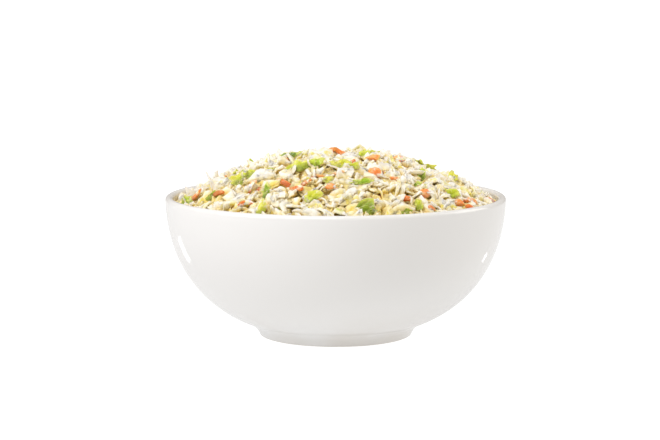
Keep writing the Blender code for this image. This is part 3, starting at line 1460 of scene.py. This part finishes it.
@dataclass
class Studio:
    """A white sweep under plain soft light, and the camera in front of it."""

    distance: float = 0.903
    camera_height: float = 0.1707
    pitch: float = math.radians(7.46)
    lens: float = 108.3
    shift: float = -0.0086
    floor_size: float = 6.0
    light_distance: float = 1.2
    light_aim: float = 57 * MM  # height of the point that the softboxes face
    glint_distance: float = 0.1
    floor_white: float = 0.92  # the sweep is lit from below, so that it stays white
    floor_bounce: float = 0.78
    floor_mirrored: float = 0.66  # dimmer in the glaze, which darkens the bowl's own edge
    floor_matt: str = "8A8A8A"  # takes the bowl's shadow
    sky: str = "FFF7EE"
    sky_strength: float = 0.46
    backdrop_strength: float = 1.1

    def floor(self) -> None:
        """Lays the pale floor that the bowl stands on."""
        half = self.floor_size / 2
        corners = [(-half, -half, 0), (half, -half, 0), (half, half, 0), (-half, half, 0)]
        mesh = bpy.data.meshes.new("floor")
        mesh.from_pydata(corners, [], [(0, 1, 2, 3)])
        floor = bpy.data.objects.new("floor", mesh)
        bpy.context.scene.collection.objects.link(floor)
        material, tree = new_tree("white_sweep")
        ray = add_node(tree, "ShaderNodeLightPath").outputs
        bounced, mirrored, shown = (
            add_node(tree, "ShaderNodeEmission", {"Color": linear("FFFFFF"), "Strength": strength})
            for strength in (self.floor_bounce, self.floor_mirrored, self.floor_white)
        )
        inputs = {0: ray["Is Glossy Ray"], 1: bounced.outputs[0], 2: mirrored.outputs[0]}
        unseen = add_node(tree, "ShaderNodeMixShader", inputs)
        inputs = {0: ray["Is Camera Ray"], 1: unseen.outputs[0], 2: shown.outputs[0]}
        glow = add_node(tree, "ShaderNodeMixShader", inputs)
        matt = add_node(tree, "ShaderNodeBsdfDiffuse", {"Color": linear(self.floor_matt)})
        both = add_node(tree, "ShaderNodeAddShader", {0: glow.outputs[0], 1: matt.outputs[0]})
        add_node(tree, "ShaderNodeOutputMaterial", {"Surface": both.outputs[0]})
        mesh.materials.append(material)

    def world(self) -> None:
        """Lights all round, a little warm, with plain white behind the object."""
        world = bpy.data.worlds.new("studio")
        bpy.context.scene.world = world
        world.use_nodes = True
        tree = world.node_tree
        tree.nodes.clear()
        lit, behind = (
            add_node(tree, "ShaderNodeBackground", {"Color": linear(colour), "Strength": strength})
            for colour, strength in (
                (self.sky, self.sky_strength),
                ("FFFFFF", self.backdrop_strength),
            )
        )
        seen = add_node(tree, "ShaderNodeLightPath").outputs["Is Camera Ray"]
        inputs = {0: seen, 1: lit.outputs[0], 2: behind.outputs[0]}
        mix = add_node(tree, "ShaderNodeMixShader", inputs)
        add_node(tree, "ShaderNodeOutputWorld", {"Surface": mix.outputs[0]})

    def softbox(
        self, name: str, azimuth: float, elevation: float, size: float, power: float, colour: str
    ) -> None:
        """Adds a square soft light that faces the object.

        Args:
            name: The light's name.
            azimuth: Degrees round from the camera, to the right.
            elevation: Degrees up.
            size: Side of the square.
            power: Watts.
            colour: The light's colour.
        """
        light = bpy.data.lights.new(name, "AREA")
        light.shape = "SQUARE"
        light.size = size
        light.energy = power
        light.color = linear(colour)[:3]
        lamp = bpy.data.objects.new(name, light)
        across, up = math.radians(azimuth), math.radians(elevation)
        level = math.cos(up)
        direction = Vector((math.sin(across) * level, -math.cos(across) * level, math.sin(up)))
        lamp.location = direction * self.light_distance + Vector((0, 0, self.light_aim))
        lamp.rotation_euler = direction.to_track_quat("Z", "Y").to_euler()
        bpy.context.scene.collection.objects.link(lamp)

    def glint(
        self,
        name: str,
        bowl: Bowl,
        azimuth: float,
        z: float,
        size: tuple[float, float],
        radiance: float,
    ) -> None:
        """Adds a small card of light that the glaze mirrors into the camera, and nothing else.

        It stands where the camera's ray, mirrored at the wall's normal, passes it.

        Args:
            name: The light's name.
            bowl: The bowl, for its wall.
            azimuth: Degrees round the wall from the front, to the right.
            z: Height of the mirroring place.
            size: Width and height of the card.
            radiance: Brightness, where 1 is paper white.
        """
        angle = np.array([bowl.wall_angle(z)])
        (radius, _), (out, rise) = bowl.outside(angle)[0], bowl.outward(angle)[0]
        turn = math.radians(azimuth)
        across, back = math.sin(turn), -math.cos(turn)
        place = Vector((radius * across, radius * back, z))
        normal = Vector((out * across, out * back, rise))
        ray = (place - Vector((0, -self.distance, self.camera_height))).normalized()
        mirrored = ray.reflect(normal)
        light = bpy.data.lights.new(name, "AREA")
        light.shape = "RECTANGLE"
        light.size, light.size_y = size
        light.energy = radiance * math.pi * size[0] * size[1]
        card = bpy.data.objects.new(name, light)
        card.location = place + mirrored * self.glint_distance
        card.rotation_euler = (-mirrored).to_track_quat("-Z", "Y").to_euler()
        card.visible_camera = False
        card.visible_diffuse = False
        bpy.context.scene.collection.objects.link(card)

    def lights(self, bowl: Bowl) -> None:
        """Key from the left, rim light from the right and behind, one from above, two glints.

        Args:
            bowl: The bowl, whose glaze shows the glints.
        """
        self.softbox("key", -66, 32, 0.7, 4.8, "F8F9FF")
        self.softbox("rim", 104, 25, 0.7, 4.9, "FFFDFA")
        self.softbox("top", -30, 60, 0.8, 9.2, "FFFFFF")
        self.glint("glint_left", bowl, -64, 43 * MM, mm(11, 26), 3.6)
        self.glint("glint_right", bowl, 63.5, 40 * MM, mm(5, 9), 3.5)

    def camera(self) -> None:
        """Places the camera in front, a little above and looking slightly down."""
        data = bpy.data.cameras.new("camera")
        data.lens = self.lens
        data.shift_x = self.shift
        camera = bpy.data.objects.new("camera", data)
        camera.location = (0.0, -self.distance, self.camera_height)
        camera.rotation_euler = (math.pi / 2 - self.pitch, 0.0, 0.0)
        bpy.context.scene.collection.objects.link(camera)
        bpy.context.scene.camera = camera

    def build(self, bowl: Bowl) -> None:
        """Sets up floor, light, camera and the plain view transform.

        Args:
            bowl: The bowl that is shown.
        """
        self.floor()
        self.world()
        self.lights(bowl)
        self.camera()
        bpy.context.scene.view_settings.view_transform = "Standard"


def main() -> None:
    """Builds the bowl, the coleslaw and the studio."""
    logging.basicConfig(level=logging.INFO, format="%(name)s: %(message)s")
    bowl = Bowl()
    bowl.build()
    Coleslaw(bowl).build()
    Studio().build(bowl)


if __name__ == "__main__":
    main()
